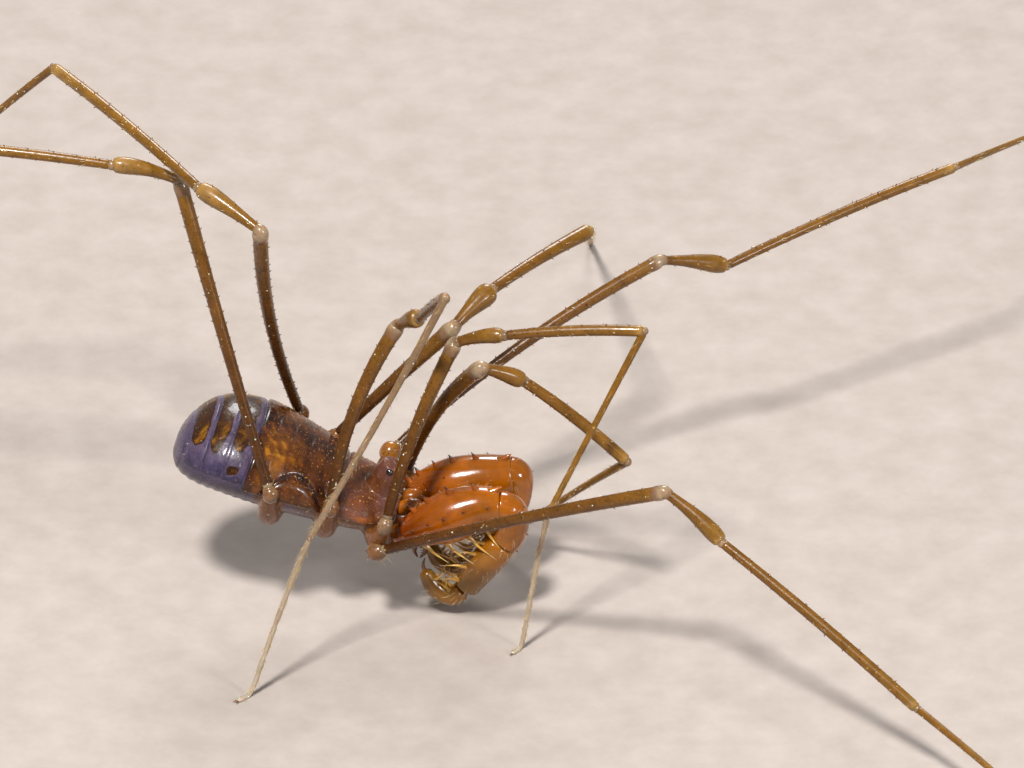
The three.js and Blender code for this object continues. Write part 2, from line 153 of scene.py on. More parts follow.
# Pedipalps: centre points, with a radius for each
PALPS = {
    "right": {
        "femur": [
            [-2.78, -1.2, 2.32, 0.32], [-2.28, -1.2, 2.56, 0.5], [-1.6, -1.2, 2.86, 0.67],
            [-0.85, -1.2, 3.13, 0.58], [-0.27, -1.2, 3.16, 0.46],
        ],
        "patella": [
            [-0.42, -1.2, 3.16, 0.43], [-0.1, -1.2, 3.05, 0.45], [0.0, -1.2, 2.72, 0.44],
            [-0.08, -1.2, 2.38, 0.44], [-0.25, -1.2, 2.12, 0.43],
        ],
        "tibia": [
            [-0.2, -1.2, 2.22, 0.38], [-0.36, -1.2, 1.98, 0.45],
            [-0.8, -1.2, 1.36, 0.42], [-1.2, -1.2, 0.72, 0.32],
        ],
        "tarsus": [
            [-1.2, -1.2, 0.72, 0.25], [-1.55, -1.15, 0.5, 0.25],
            [-1.95, -1.1, 0.75, 0.24], [-2.2, -1.05, 1.2, 0.16],
        ],
    },
    "left": {
        "femur": [
            [-2.68, 0.36, 2.52, 0.3], [-2.2, 0.42, 2.62, 0.52], [-1.55, 0.42, 2.8, 0.66],
            [-0.8, 0.42, 2.97, 0.63], [0.08, 0.42, 3.11, 0.48],
        ],
        "patella": [
            [-0.17, 0.42, 3.13, 0.46], [0.07, 0.41, 3.03, 0.46], [0.1, 0.38, 2.7, 0.42],
            [0.02, 0.32, 2.36, 0.42], [-0.12, 0.27, 2.08, 0.41],
        ],
        "tibia": [
            [-0.08, 0.28, 2.18, 0.37], [-0.22, 0.22, 1.92, 0.43],
            [-0.6, 0.15, 1.3, 0.4], [-1.0, 0.1, 0.8, 0.3],
        ],
        "tarsus": [
            [-1.0, 0.1, 0.8, 0.25], [-1.4, 0.08, 0.6, 0.25],
            [-1.8, 0.06, 0.8, 0.24], [-2.05, 0.05, 1.25, 0.16],
        ],
    },
}


def placed(name, data):
    """A new object of the scene, for a mesh, a light or a camera."""
    ob = bpy.data.objects.new(name, data)
    bpy.context.scene.collection.objects.link(ob)
    return ob


# Geometry helpers, all in millimetres until a mesh is made


def unit(v):
    return v / max(np.linalg.norm(v), 1e-12)


def smooth_line(points, count):
    """A Catmull-Rom line through the points, with any further columns carried along."""
    p = np.array(points, float)
    p = np.vstack([2 * p[0] - p[1], p, 2 * p[-1] - p[-2]])
    spans = len(p) - 3
    out = []
    for s in np.linspace(0, spans, count):
        i = min(int(s), spans - 1)
        t = s - i
        a, b, c, d = p[i], p[i + 1], p[i + 2], p[i + 3]
        out.append(0.5 * (2 * b + (c - a) * t + (2 * a - 5 * b + 4 * c - d) * t**2
                          + (3 * b - a - 3 * c + d) * t**3))
    return np.array(out)


def frames(line):
    """Unit vectors along, up and across a line, turning as little as they can."""
    along = np.gradient(line, axis=0)
    along /= np.linalg.norm(along, axis=1)[:, None]
    up = np.array([0.0, 0.0, 1.0])
    if abs(along[0, 2]) > 0.95:
        up = np.array([1.0, 0.0, 0.0])
    ups = []
    for a in along:
        up = unit(up - a * (up @ a))
        ups.append(up)
    ups = np.array(ups)
    return along, ups, np.cross(along, ups)


class Build:
    """Vertices, faces and one brightness value for each vertex, gathered into one mesh."""

    def __init__(self):
        self.verts, self.faces, self.tone, self.uvs = [], [], [], []
        self.count = 0

    def add(self, verts, faces, tone=0.0, uv=None):
        verts = np.asarray(verts, float)
        tones = np.full(len(verts), tone) if np.isscalar(tone) else np.asarray(tone, float)
        self.verts.append(verts)
        self.tone.append(tones)
        self.uvs.append(np.zeros((len(verts), 2)) if uv is None else np.asarray(uv, float))
        self.faces.extend([[i + self.count for i in f] for f in faces])
        self.count += len(verts)

    def make(self, name, material, slot, nodes=(), uv_map=False):
        """The mesh itself, in metres in the model's frame, riding the body and standing for its nodes."""
        mesh = bpy.data.meshes.new(name)
        verts = (np.vstack(self.verts) - ORIGIN) * MM
        mesh.from_pydata(verts.tolist(), [], self.faces)
        layer = mesh.attributes.new("tone", "FLOAT", "POINT")
        layer.data.foreach_set("value", np.concatenate(self.tone).astype(np.float32))
        if uv_map:
            uv = np.vstack(self.uvs)
            layer = mesh.uv_layers.new(name="OFBake")
            loops = np.zeros(len(mesh.loops), int)
            mesh.loops.foreach_get("vertex_index", loops)
            layer.data.foreach_set("uv", uv[loops].astype(np.float32).ravel())
        mesh.materials.append(material)
        mesh.polygons.foreach_set("use_smooth", [True] * len(mesh.polygons))
        mesh.update()
        ob = placed(name, mesh)
        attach(ob, "root")
        if nodes:
            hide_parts(*nodes)


def grid_faces(rows, sides, closed=True):
    faces = []
    for r in range(rows - 1):
        for s in range(sides if closed else sides - 1):
            a, b = r * sides + s, r * sides + (s + 1) % sides
            faces.append([a, b, b + sides, a + sides])
    return faces


def lofted(rings):
    """Vertices and faces of a closed loft through rings, with a fan at each end."""
    rows, sides = rings.shape[:2]
    verts = np.vstack([rings.reshape(-1, 3), rings[0].mean(0), rings[-1].mean(0)])
    faces = grid_faces(rows, sides)
    first, last = rows * sides, rows * sides + 1
    for s in range(sides):
        n = (s + 1) % sides
        faces.append([n, s, first])
        faces.append([(rows - 1) * sides + s, (rows - 1) * sides + n, last])
    return verts, faces


def loft_tones(tones, sides):
    """One tone for each vertex of a loft, from one for each ring."""
    return np.concatenate([np.repeat(tones, sides), tones[[0, -1]]])


def tube_rings(line, radii, sides):
    """Rings round a line, one at each of its points."""
    _, up, across = frames(line)
    angle = np.arange(sides) * 2 * math.pi / sides
    r = np.repeat(np.asarray(radii)[:, None], sides, 1)
    ring = up[:, None] * np.cos(angle)[None, :, None] + across[:, None] * np.sin(angle)[None, :, None]
    return line[:, None] + ring * r[:, :, None]


def rounded(radii, lengths, cap, end_cap=None):
    """Radii that close roundly over the last stretch at each end."""
    from_start = np.clip(lengths / cap, 0, 1)
    from_end = np.clip((lengths[-1] - lengths) / (end_cap or cap), 0, 1)
    start, end = (np.sqrt(np.clip(1 - (1 - part) ** 2, 0.001, 1)) for part in (from_start, from_end))
    return radii * start * end


def arc_lengths(line):
    return np.concatenate([[0], np.cumsum(np.linalg.norm(np.diff(line, axis=0), axis=1))])


def spike(build, root, way, length, radius, bend=None, sides=5, steps=4, tone=(0.0, 1.0), uv=None):
    """One tapered, slightly bent spine or hair, closed at its root and its tip."""
    bend = np.zeros(3) if bend is None else bend
    t = np.linspace(0, 1, steps + 1)
    line = root + np.outer(t, way) * length + np.outer(t**2, bend) * length
    r = radius * (1 - t) ** 0.7
    r[-1] = radius * 0.04
    rings = tube_rings(line, r, sides)
    verts, faces = lofted(rings)
    patch = None
    if uv is not None:
        patch = np.array(uv) + 0.003 * RNG.random((len(verts), 2))
    build.add(verts, faces, loft_tones(tone[0] + (tone[1] - tone[0]) * t, sides), patch)


# The trunk's surface, by place along it and angle round it (0 left, 90 degrees up)
CURVE = smooth_line(TRUNK, 400)


def body_matrix():
    y, p = BODY_YAW, BODY_PITCH
    turn_z = np.array([[math.cos(y), -math.sin(y), 0], [math.sin(y), math.cos(y), 0], [0, 0, 1]])
    turn_y = np.array([[math.cos(p), 0, math.sin(p)], [0, 1, 0], [-math.sin(p), 0, math.cos(p)]])
    return turn_z @ turn_y


BODY = body_matrix()


def to_world(local):
    return np.asarray(local) @ BODY.T + BODY_PLACE


def to_body(world):
    return (np.asarray(world) - BODY_PLACE) @ BODY


def trunk_local(a, angle, out=0.0):
    """A place on the trunk in the body's own axes, pushed out by a distance."""
    a, angle, out = np.broadcast_arrays(np.asarray(a, float), angle, out)
    centre, half, up, down = (np.interp(a, CURVE[:, 0], CURVE[:, k]) for k in (1, 2, 3, 4))
    rise = np.sin(angle)
    y = half * np.cos(angle)
    z = centre + rise * np.where(rise > 0, up, down)
    # the push follows the ring's own normal, near enough
    ny = np.cos(angle) / np.maximum(half, 0.05)
    nz = rise / np.maximum(np.where(rise > 0, up, down), 0.05)
    size = np.sqrt(ny**2 + nz**2)
    return np.stack([a, y + out * ny / size, z + out * nz / size], -1)


def fbm(points, scale, seed=0, octaves=4):
    """Smooth seeded noise between about -1 and 1, from sums of turned waves."""
    rng = np.random.default_rng(seed)
    value, size = np.zeros(points.shape[:-1]), 1.0
    for octave in range(octaves):
        for _ in range(5):
            way = unit(rng.normal(size=3)) * scale * 2**octave
            value += size * np.sin(points @ way + rng.random() * 6.28)
        size *= 0.55
    return value / 5


def smoothstep(low, high, x):
    t = np.clip((x - low) / (high - low), 0, 1)
    return t * t * (3 - 2 * t)


def hump(x, middle, width):
    return np.exp(-(((x - middle) / width) ** 2))


# Materials


def new_material(name):
    mat = bpy.data.materials.new(name)
    mat.use_nodes = True
    return mat, mat.node_tree, mat.node_tree.nodes["Principled BSDF"]


def set_inputs(node, values):
    for name, value in values.items():
        node.inputs[name].default_value = value


def noise(tree, scale, detail=4.0, rough=0.6, distortion=0.0):
    n = tree.nodes.new("ShaderNodeTexNoise")
    set_inputs(n, {"Scale": scale, "Detail": detail, "Roughness": rough, "Distortion": distortion})
    coords = tree.nodes.new("ShaderNodeTexCoord")
    tree.links.new(coords.outputs["Object"], n.inputs["Vector"])
    return n.outputs["Fac"]


def ramp(tree, source, stops):
    r = tree.nodes.new("ShaderNodeValToRGB")
    e = r.color_ramp.elements
    e[0].position, e[0].color = stops[0][0], (*stops[0][1], 1)
    e[1].position, e[1].color = stops[-1][0], (*stops[-1][1], 1)
    for at, colour in stops[1:-1]:
        new = e.new(at)
        new.color = (*colour, 1)
    tree.links.new(source, r.inputs["Fac"])
    return r.outputs["Color"]


def mixed(tree, fac, a, b, kind="MIX"):
    """Two colours mixed: each is a socket or a constant, and so is the share of the second."""
    m = tree.nodes.new("ShaderNodeMix")
    m.data_type = "RGBA"
    m.blend_type = kind
    for socket, value in ((m.inputs[0], fac), (m.inputs[6], a), (m.inputs[7], b)):
        if isinstance(value, float):
            socket.default_value = value
        elif isinstance(value, tuple):
            socket.default_value = (*value, 1)
        else:
            tree.links.new(value, socket)
    return m.outputs[2]


def to_range(tree, source, low, high, from_low=0.0, from_high=1.0):
    m = tree.nodes.new("ShaderNodeMapRange")
    set_inputs(m, {"From Min": from_low, "From Max": from_high, "To Min": low, "To Max": high})
    tree.links.new(source, m.inputs["Value"])
    return m.outputs["Result"]


def chitin(name, stops, mottle=0.5, depth=0.0003, glow=0.4, coat=0.35, rough=(0.22, 0.4), patch=2600.0,
           grain=16000.0, relief=0.25, specks=None, bloom=None, red=(1.0, 0.4, 0.1), shine=0.4):
    """Translucent shell: colours run with 'tone', mottled, with specks and a thin bloom, glossy on top."""
    mat, tree, p = new_material(name)
    tone = tree.nodes.new("ShaderNodeAttribute")
    tone.attribute_name = "tone"
    wobble = to_range(tree, noise(tree, patch * 0.7, 3.0), -0.12, 0.12)
    shifted = tree.nodes.new("ShaderNodeMath")
    tree.links.new(tone.outputs["Fac"], shifted.inputs[0])
    tree.links.new(wobble, shifted.inputs[1])
    colour = ramp(tree, shifted.outputs["Value"], stops)
    dark = ramp(tree, noise(tree, patch, 5.0, 0.65, 0.4), [(0.32, (mottle,) * 3), (0.66, (1.0,) * 3)])
    colour = mixed(tree, 1.0, colour, dark, "MULTIPLY")
    if specks is not None:
        scale, low, shade = specks
        spots = ramp(tree, noise(tree, scale, 2.0, 0.5), [(low, (0, 0, 0)), (low + 0.05, (1, 1, 1))])
        colour = mixed(tree, spots, colour, shade)
    if bloom is not None:
        scale, share, shade = bloom
        cloud = to_range(tree, noise(tree, scale, 4.0, 0.6), 0.0, share, 0.4, 0.65)
        colour = mixed(tree, cloud, colour, shade)
    tree.links.new(colour, p.inputs["Base Color"])
    fine = noise(tree, grain, 3.0, 0.6)
    tree.links.new(to_range(tree, fine, *rough, 0.3, 0.7), p.inputs["Roughness"])
    b = tree.nodes.new("ShaderNodeBump")
    set_inputs(b, {"Strength": relief, "Distance": 0.00002})
    tree.links.new(fine, b.inputs["Height"])
    tree.links.new(b.outputs["Normal"], p.inputs["Normal"])
    set_inputs(p, {
        "Subsurface Weight": glow, "Subsurface Radius": red, "Subsurface Scale": depth,
        "Coat Weight": coat, "Coat Roughness": 0.07, "IOR": 1.45, "Specular IOR Level": shine,
    })
    return mat


# Colours are linear and run from tone 0 to tone 1 along each part
PALP = chitin(
    "palp_chitin",
    [(0.0, (0.22, 0.034, 0.001)), (0.3, (0.38, 0.095, 0.001)), (0.6, (0.35, 0.112, 0.001)),
     (0.85, (0.25, 0.1, 0.003)), (1.0, (0.2, 0.1, 0.008))],
    mottle=0.55, coat=0.7, rough=(0.14, 0.24), patch=1300.0, relief=0.12,
    bloom=(800.0, 0.3, (0.22, 0.08, 0.001)), red=(1.0, 0.5, 0.06),
)
LEG = chitin(
    "leg_chitin",
    [(0.0, (0.06, 0.017, 0.002)), (0.25, (0.1, 0.035, 0.003)), (0.45, (0.15, 0.06, 0.007)),
     (0.7, (0.19, 0.083, 0.007)), (0.85, (0.235, 0.112, 0.014)), (1.0, (0.34, 0.19, 0.05))],
    mottle=0.6, depth=0.0002, glow=0.3, coat=0.25, specks=(9000.0, 0.69, (0.4, 0.25, 0.09)), shine=0.35,
)
PALE = chitin(
    "pale_leg_chitin",
    [(0.0, (0.15, 0.08, 0.035)), (0.5, (0.25, 0.165, 0.09)), (1.0, (0.5, 0.44, 0.34))],
    mottle=0.7, glow=0.5, rough=(0.2, 0.36),
)
JOINT = chitin(
    "joint_membrane",
    [(0.0, (0.52, 0.2, 0.006)), (0.2, (0.26, 0.09, 0.008)), (0.45, (0.18, 0.075, 0.018)),
     (0.7, (0.27, 0.165, 0.085)), (1.0, (0.42, 0.32, 0.2))],
    glow=0.45, coat=0.5, rough=(0.15, 0.3), bloom=(2500.0, 0.25, (0.22, 0.12, 0.08)),
)
THORN = chitin(
    "dark_thorn", [(0.0, (0.24, 0.07, 0.006)), (0.5, (0.12, 0.03, 0.004)), (1.0, (0.03, 0.008, 0.003))],
    mottle=0.85, depth=0.0001, glow=0.1, coat=0.9, rough=(0.15, 0.25),
)
GOLD = chitin(
    "golden_spine", [(0.0, (0.5, 0.2, 0.015)), (0.6, (0.6, 0.32, 0.05)), (1.0, (0.7, 0.5, 0.18))],
    mottle=0.85, depth=0.0002, coat=0.9, rough=(0.12, 0.22),
)
HAIR = chitin(
    "seta", [(0.0, (0.5, 0.3, 0.08)), (1.0, (0.8, 0.68, 0.45))],
    mottle=0.95, depth=0.0001, glow=0.2, coat=0.8, rough=(0.12, 0.2),
)
# Small glossy beads along the legs, coloured whitish as painted glints: painted highlights on the granules
PAINTED_GLINT = chitin(
    "painted_glint_bead", [(0.0, (0.6, 0.5, 0.36)), (1.0, (0.8, 0.74, 0.64))],
    mottle=0.95, depth=0.0002, glow=0.5, coat=1.0, rough=(0.08, 0.14),
)
GRANULE = chitin(
    "granule", [(0.0, (0.1, 0.03, 0.004)), (0.6, (0.2, 0.07, 0.008)), (1.0, (0.34, 0.15, 0.03))],
    mottle=0.8, depth=0.0001, glow=0.3, coat=0.5, rough=(0.15, 0.3),
)
SHIELD = chitin(
    "shield_chitin",
    [(0.0, (0.016, 0.005, 0.002)), (0.3, (0.052, 0.013, 0.002)), (0.6, (0.13, 0.036, 0.002)),
     (0.85, (0.24, 0.08, 0.003)), (1.0, (0.42, 0.17, 0.008))],
    mottle=0.28, depth=0.0002, glow=0.2, rough=(0.2, 0.4), patch=3000.0, grain=12000.0, relief=0.45,
    specks=(9000.0, 0.68, (0.3, 0.12, 0.008)), bloom=(1500.0, 0.2, (0.07, 0.03, 0.03)), shine=0.28,
)
CARAPACE = chitin(
    "carapace_chitin",
    [(0.0, (0.045, 0.013, 0.005)), (0.4, (0.14, 0.04, 0.01)), (0.7, (0.23, 0.075, 0.02)),
     (1.0, (0.46, 0.12, 0.012))],
    glow=0.35, rough=(0.25, 0.45), patch=3600.0, grain=14000.0, relief=0.6,
    specks=(12000.0, 0.66, (0.42, 0.2, 0.08)), bloom=(1300.0, 0.5, (0.13, 0.07, 0.09)), shine=0.3,
)
# The tergites' pale grey-violet specks are painted glints
TERGITE = chitin(
    "tergite_chitin",
    [(0.0, (0.05, 0.04, 0.095)), (0.14, (0.115, 0.082, 0.14)), (0.24, (0.085, 0.055, 0.085)),
     (0.4, (0.02, 0.006, 0.002)), (0.6, (0.05, 0.016, 0.002)), (0.8, (0.16, 0.06, 0.003)),
     (1.0, (0.34, 0.15, 0.006))],
    depth=0.0002, glow=0.2, coat=0.25, patch=4200.0, grain=13000.0, relief=0.4,
    specks=(9500.0, 0.74, (0.3, 0.25, 0.3)), shine=0.25,
)
# The skin's pale grey-violet specks are painted glints
SKIN = chitin(
    "soft_skin",
    [(0.0, (0.07, 0.05, 0.1)), (0.35, (0.11, 0.075, 0.125)), (0.6, (0.16, 0.07, 0.06)),
     (0.8, (0.17, 0.055, 0.01)), (1.0, (0.24, 0.08, 0.008))],
    depth=0.0004, patch=3000.0, specks=(6500.0, 0.7, (0.34, 0.27, 0.32)),
)


# Small forms


def dome(build, place, normal, radius, height, tone=0.5, sides=7):
    """A low round granule on a surface."""
    side = unit(np.cross(normal, [0.31, 0.52, 0.79]))
    across = np.cross(normal, side)
    angle = np.arange(sides) * 2 * math.pi / sides
    ring = np.outer(np.cos(angle), side) + np.outer(np.sin(angle), across)
    levels = [(-0.4, 1.0), (0.35, 0.88), (0.8, 0.52), (1.0, 0.14)]
    rings = np.array([place + normal * up * height + ring * out * radius for up, out in levels])
    verts, faces = lofted(rings)
    build.add(verts, faces, tone)


def ellipsoid(build, centre, radius, stretch=(1, 1, 1), tone=0.5, rows=18, sides=24):
    angle = np.linspace(0.04, math.pi - 0.04, rows)
    turn = np.arange(sides) * 2 * math.pi / sides
    ring = np.stack([np.cos(turn), np.sin(turn), np.zeros(sides)], -1)
    up = np.array([0, 0, 1.0])
    rings = ring[None] * np.sin(angle)[::-1, None, None] + up * np.cos(angle)[::-1, None, None]
    verts, faces = lofted(rings * radius * np.array(stretch) + centre)
    build.add(verts, faces, tone)


def limb(build, rows, sides=28, cap=0.12, tone=(0.4, 0.5), count=40):
    """A smooth closed limb through [x, y, z, radius] rows, its tones spread along it."""
    data = smooth_line(rows, count)
    line, lengths = data[:, :3], arc_lengths(data[:, :3])
    verts, faces = lofted(tube_rings(line, rounded(data[:, 3], lengths, cap), sides))
    along = np.interp(np.linspace(0, 1, count), np.linspace(0, 1, len(tone)), tone)
    build.add(verts, faces, loft_tones(along, sides))


# Legs


def leg_line(leg, part, count):
    data = LEGS[leg]
    i = LEG_PARTS.index(part)
    a, b = (np.array(data["joints"][k], float) for k in (i, i + 1))
    if part == "tarsus":
        b[2] = 0.07
    t = np.linspace(0, 1, count)
    bow = data["bows"][i]
    line = a + np.outer(t, b - a) + np.outer(4 * t * (1 - t), [bow[0], 0, bow[1]])
    if part == "tarsus":
        toe = np.array([*(b[:2] + data["toe"]), 0.05])
        line = smooth_line([*line[:-4: count // 6], b + (toe - b) * 0.12, toe], count)
    return line


def leg_radii(leg, part, count):
    stout, knee, _, _ = LEG_BUILD[leg]
    r = np.array(LEG_RADII[part]) * stout
    if part == "patella":
        r[2], r[3] = knee, knee * 0.8
    if part == "tibia" and leg == "left_3":
        r[2], r[3] = 0.2, 0.235
    at = {"patella": [0, 0.3, 0.78, 1]}.get(part, [0, 0.45, 0.95, 1])
    t = np.linspace(0, 1, count)
    knots = smooth_line(np.column_stack([at, r]), 60)
    radii = np.interp(t, knots[:, 0], knots[:, 1])
    if part == "tarsus":
        radii *= 1 - 0.2 * np.cos(math.pi * TARSUS_JOINTS[leg[-1]] * t) ** 14
    return radii


# How a leg's colour runs along each part, from dark brown to pale tan
LEG_TONES = {
    "femur": (0.04, 0.66), "patella": (0.5, 0.88), "tibia": (0.55, 0.78),
    "metatarsus": (0.7, 0.9), "tarsus": (0.85, 1.0),
}
PALE_TONES = {"tibia": (0.1, 0.35), "metatarsus": (0.35, 0.6), "tarsus": (0.65, 1.0)}
PALE_LEGS = {"right_1": ("tarsus",), "right_3": ("tibia", "metatarsus", "tarsus")}
SLOTS = {
    "femur": "leg_base", "patella": "leg_middle", "tibia": "leg_middle",
    "metatarsus": "leg_end", "tarsus": "leg_end",
}
TEETH_PER_MM = {"femur": 15, "patella": 7, "tibia": 9, "metatarsus": 0, "tarsus": 0}
HAIRS_PER_MM = {"femur": 2, "patella": 6, "tibia": 7, "metatarsus": 12, "tarsus": 34}
# Beads with painted glints, per millimetre of each part, on the next line
PAINTED_GLINT_BEADS_PER_MM = {"femur": 2.2, "patella": 1.5, "tibia": 1.4, "metatarsus": 1.2, "tarsus": 0}
LOWEST_HAIR = 0.012
REAR_LEG_PALER = 0.14
CLAW = {"length": 0.13, "radius": 0.02, "apart": 0.02}
# The pale knuckle at each knee: how far it reaches along the femur and the patella, and its tones
KNUCKLE = {"back": (0.45, 0.16), "ahead": 0.18, "tones": (0.42, 0.62, 0.95, 0.85, 0.55)}

LINE_FRAMES = {}


def remember(line):
    """Keep a line's directions, so that places on its surface are found fast."""
    LINE_FRAMES[id(line)] = (line, *frames(line))


def any_spot(low, high):
    """A random share of the way along a limb, and a random angle round it."""
    return RNG.uniform(low, high), RNG.uniform(0, 2 * math.pi)


def around(line, radii, s, angle, sunk=0.92):
    """A place on a limb's surface, the way out of it and the way along it."""
    i = int(s * (len(line) - 1))
    _, along, up, across = LINE_FRAMES[id(line)]
    out = up[i] * math.cos(angle) + across[i] * math.sin(angle)
    return line[i] + out * radii[i] * sunk, out, along[i]


def dress_leg(part, line, radii, teeth, hairs, painted_glint_beads):
    remember(line)
    total = arc_lengths(line)[-1]
    for k in range(int(TEETH_PER_MM[part] * total)):
        row = k % 6
        s = 0.05 + 0.9 * (k / (TEETH_PER_MM[part] * total))
        angle = row * math.pi / 3 + RNG.normal() * 0.12
        root, out, along = around(line, radii, s, angle)
        spike(teeth, root, unit(out + along * 0.7), RNG.uniform(0.05, 0.085), 0.02, sides=5, steps=2)
    # Pale beads whose whitish colour is painted glints
    for _ in range(int(PAINTED_GLINT_BEADS_PER_MM[part] * total)):
        s, angle = any_spot(0.03, 0.97)
        root, out, _ = around(line, radii, s, angle, 1.0)
        dome(painted_glint_beads, root, out, RNG.uniform(0.012, 0.026), 0.022, RNG.random())
    for _ in range(int(HAIRS_PER_MM[part] * total)):
        s, angle = any_spot(0.03, 0.98)
        root, out, along = around(line, radii, s, angle)
        length = RNG.uniform(0.1, 0.2) * (0.85 if part == "tarsus" else 1)
        way = unit(out * 0.75 + along)
        if min(root[2], (root + way * length)[2]) < LOWEST_HAIR:
            continue
        uv = (0.02 + 0.9 * (LEG_PARTS.index(part) + s) / 5, 0.02 + 0.9 * angle / (2 * math.pi))
        spike(hairs, root, way, length, 0.007, bend=along * 0.15, sides=3, steps=2, uv=uv)


def make_claws(build, leg, line):
    """Two claws on each of the rear four legs, one on each of the front four."""
    way = unit(line[-1] - line[-8])
    side = unit(np.cross(way, [0, 0, 1]))
    for turn in (-1, 1) if leg[-1] in "34" else (0,):
        root = line[-1] + side * turn * CLAW["apart"]
        spike(build, root, unit(way + side * turn * 0.35 + [0, 0, 0.25]), CLAW["length"], CLAW["radius"],
              bend=np.array([0, 0, -0.32]), sides=6, steps=5)


def knee_sleeve(build, leg, patella, radii):
    """The pale knuckle between a femur and its patella, a little thicker than both."""
    femur, widths = leg_line(leg, "femur", 110), leg_radii(leg, "femur", 110)
    lengths = arc_lengths(femur)
    near, mid = (int(np.searchsorted(lengths, lengths[-1] - back)) for back in KNUCKLE["back"])
    ahead = int(np.searchsorted(arc_lengths(patella), KNUCKLE["ahead"]))
    rows = [
        [*femur[near], widths[near] * 0.98], [*femur[mid], widths[mid] * 1.1],
        [*((femur[-1] + patella[0]) / 2), widths[-1] * 1.06], [*patella[ahead], radii[ahead] * 1.03],
    ]
    limb(build, rows, 22, 0.06, KNUCKLE["tones"], 36)


def part_tones(leg, part, count):
    """How the colour runs along one part of a leg, and whether it is one of the pale parts."""
    pale = part in PALE_LEGS.get(leg, ())
    tones = np.linspace(*(PALE_TONES if pale else LEG_TONES)[part], count)
    if leg[-1] == "4" and part in ("patella", "tibia"):
        tones = tones + REAR_LEG_PALER
    if not pale:
        tones = tones + 0.25 * smoothstep(0.9, 1.0, np.linspace(0, 1, count))
    return tones, pale


def make_legs():
    for leg, data in LEGS.items():
        joints, teeth, hairs, painted_glint_beads = Build(), Build(), Build(), Build()
        for i, part in enumerate(LEG_PARTS):
            count = 240 if part == "tarsus" else 110
            line, radii = leg_line(leg, part, count), leg_radii(leg, part, count)
            cap = 0.05 if part == "tarsus" else 0.11
            sides = 16 if part in ("metatarsus", "tarsus") else 24
            rings = tube_rings(line, rounded(radii, arc_lengths(line), cap), sides)
            if part == "tarsus":
                rings[..., 2] = np.maximum(rings[..., 2], 0.0)
            verts, faces = lofted(rings)
            tones, pale = part_tones(leg, part, count)
            shell = Build()
            shell.add(verts, faces, loft_tones(tones, sides))
            node = f"leg_{leg}_{part}"
            shell.make(f"{node}_shell", PALE if pale else LEG, SLOTS[part], [node])
            if part == "patella":
                knee_sleeve(joints, leg, line, radii)
            elif i:
                joint = np.array(data["joints"][i], float)
                ellipsoid(joints, joint, radii[0] * 1.1, tone=0.75, rows=12, sides=16)
            dress_leg(part, line, radii, teeth, hairs, painted_glint_beads)
        make_claws(teeth, leg, line)
        joints.make(f"leg_{leg}_joints", JOINT, "leg_end")
        teeth.make(f"leg_{leg}_denticles", THORN, "leg_base")
        painted_glint_beads.make(f"leg_{leg}_beads", PAINTED_GLINT, "leg_end")
        hairs.make(f"leg_{leg}_hairs", HAIR, "leg_end", uv_map=True)


def make_trochanters():
    """The short piece between each leg's coxa and its femur, with a few thorns."""
    balls, thorns = Build(), Build()
    for leg, (_, _, radius, tone) in LEG_BUILD.items():
        place = np.array(LEGS[leg]["joints"][0])
        body_side, thigh = coxa_line(leg)[-2, :3], leg_line(leg, "femur", 20)[2]
        into, away = unit(body_side - place), unit(thigh - place)
        rows = [
            [*(place + into * 0.3), 0.1], [*(place + into * 0.17), radius * 0.86], [*place, radius],
            [*(place + away * 0.15), radius * 0.84], [*(place + away * 0.27), 0.13],
        ]
        limb(balls, rows, 26, 0.08, (tone, tone + 0.12), 36)
        ellipsoid(balls, place + away * 0.27, 0.135, tone=0.8, rows=12, sides=18)
        for _ in range(5):
            out = unit(RNG.normal(size=3) * [1, 1, 0.6] + [0, 0, 0.5])
            spike(thorns, place + out * radius * 0.93, out, 0.08, 0.022, steps=3)
    balls.make("trochanters", JOINT, "leg_base")
    thorns.make("trochanter_thorns", THORN, "leg_base")


# Pedipalps and chelicerae


def thorn(base, tip, root, way, size, bend):
    """A tubercle with a dark bristle-like tip."""
    foot, neck = root - way * size * 0.25, root + way * size * 0.2
    spike(base, foot, way, size * 0.95, size * 0.46, bend, sides=9, steps=5, tone=(0.2, 0.1))
    spike(tip, neck, way, size * 0.8, size * 0.2, bend, sides=7, steps=4, tone=(0.3, 1.0))


def flat_place(root):
    """A root's place on a side-on unwrap of the head."""
    return (0.03 + 0.2 * (root[0] + 3.6), 0.03 + 0.22 * root[2])


def long_spine(base, tip, root, way, length, radius, bend):
    """A long golden spine on a stout foot, ending in a fine bristle."""
    foot, end = root - way * radius, root + way * length * 0.86 + bend * length * 0.74
    spike(base, foot, way, length * 0.5, radius * 1.9, bend, sides=10, steps=5, tone=(0.0, 0.4))
    spike(base, root, way, length, radius, bend, sides=8, steps=6, tone=(0.2, 0.9))
    spike(tip, end, unit(way + bend * 1.6), length * 0.42, radius * 0.26, None, 4, 3, uv=flat_place(root))


# Rows of thorns on a palp: part, from, to, count, angle from the top towards the inner side, size
PALP_THORNS = [
    ("femur", 0.12, 0.76, 5, 0.0, 0.26),
    ("femur", 0.2, 0.85, 5, 60.0, 0.15),
    ("femur", 0.35, 0.8, 3, 95.0, 0.13),
    ("patella", 0.3, 0.95, 3, 20.0, 0.07),
    ("tibia", 0.15, 0.9, 3, 70.0, 0.07),
    ("femur", 0.1, 0.5, 3, -40.0, 0.1),
]
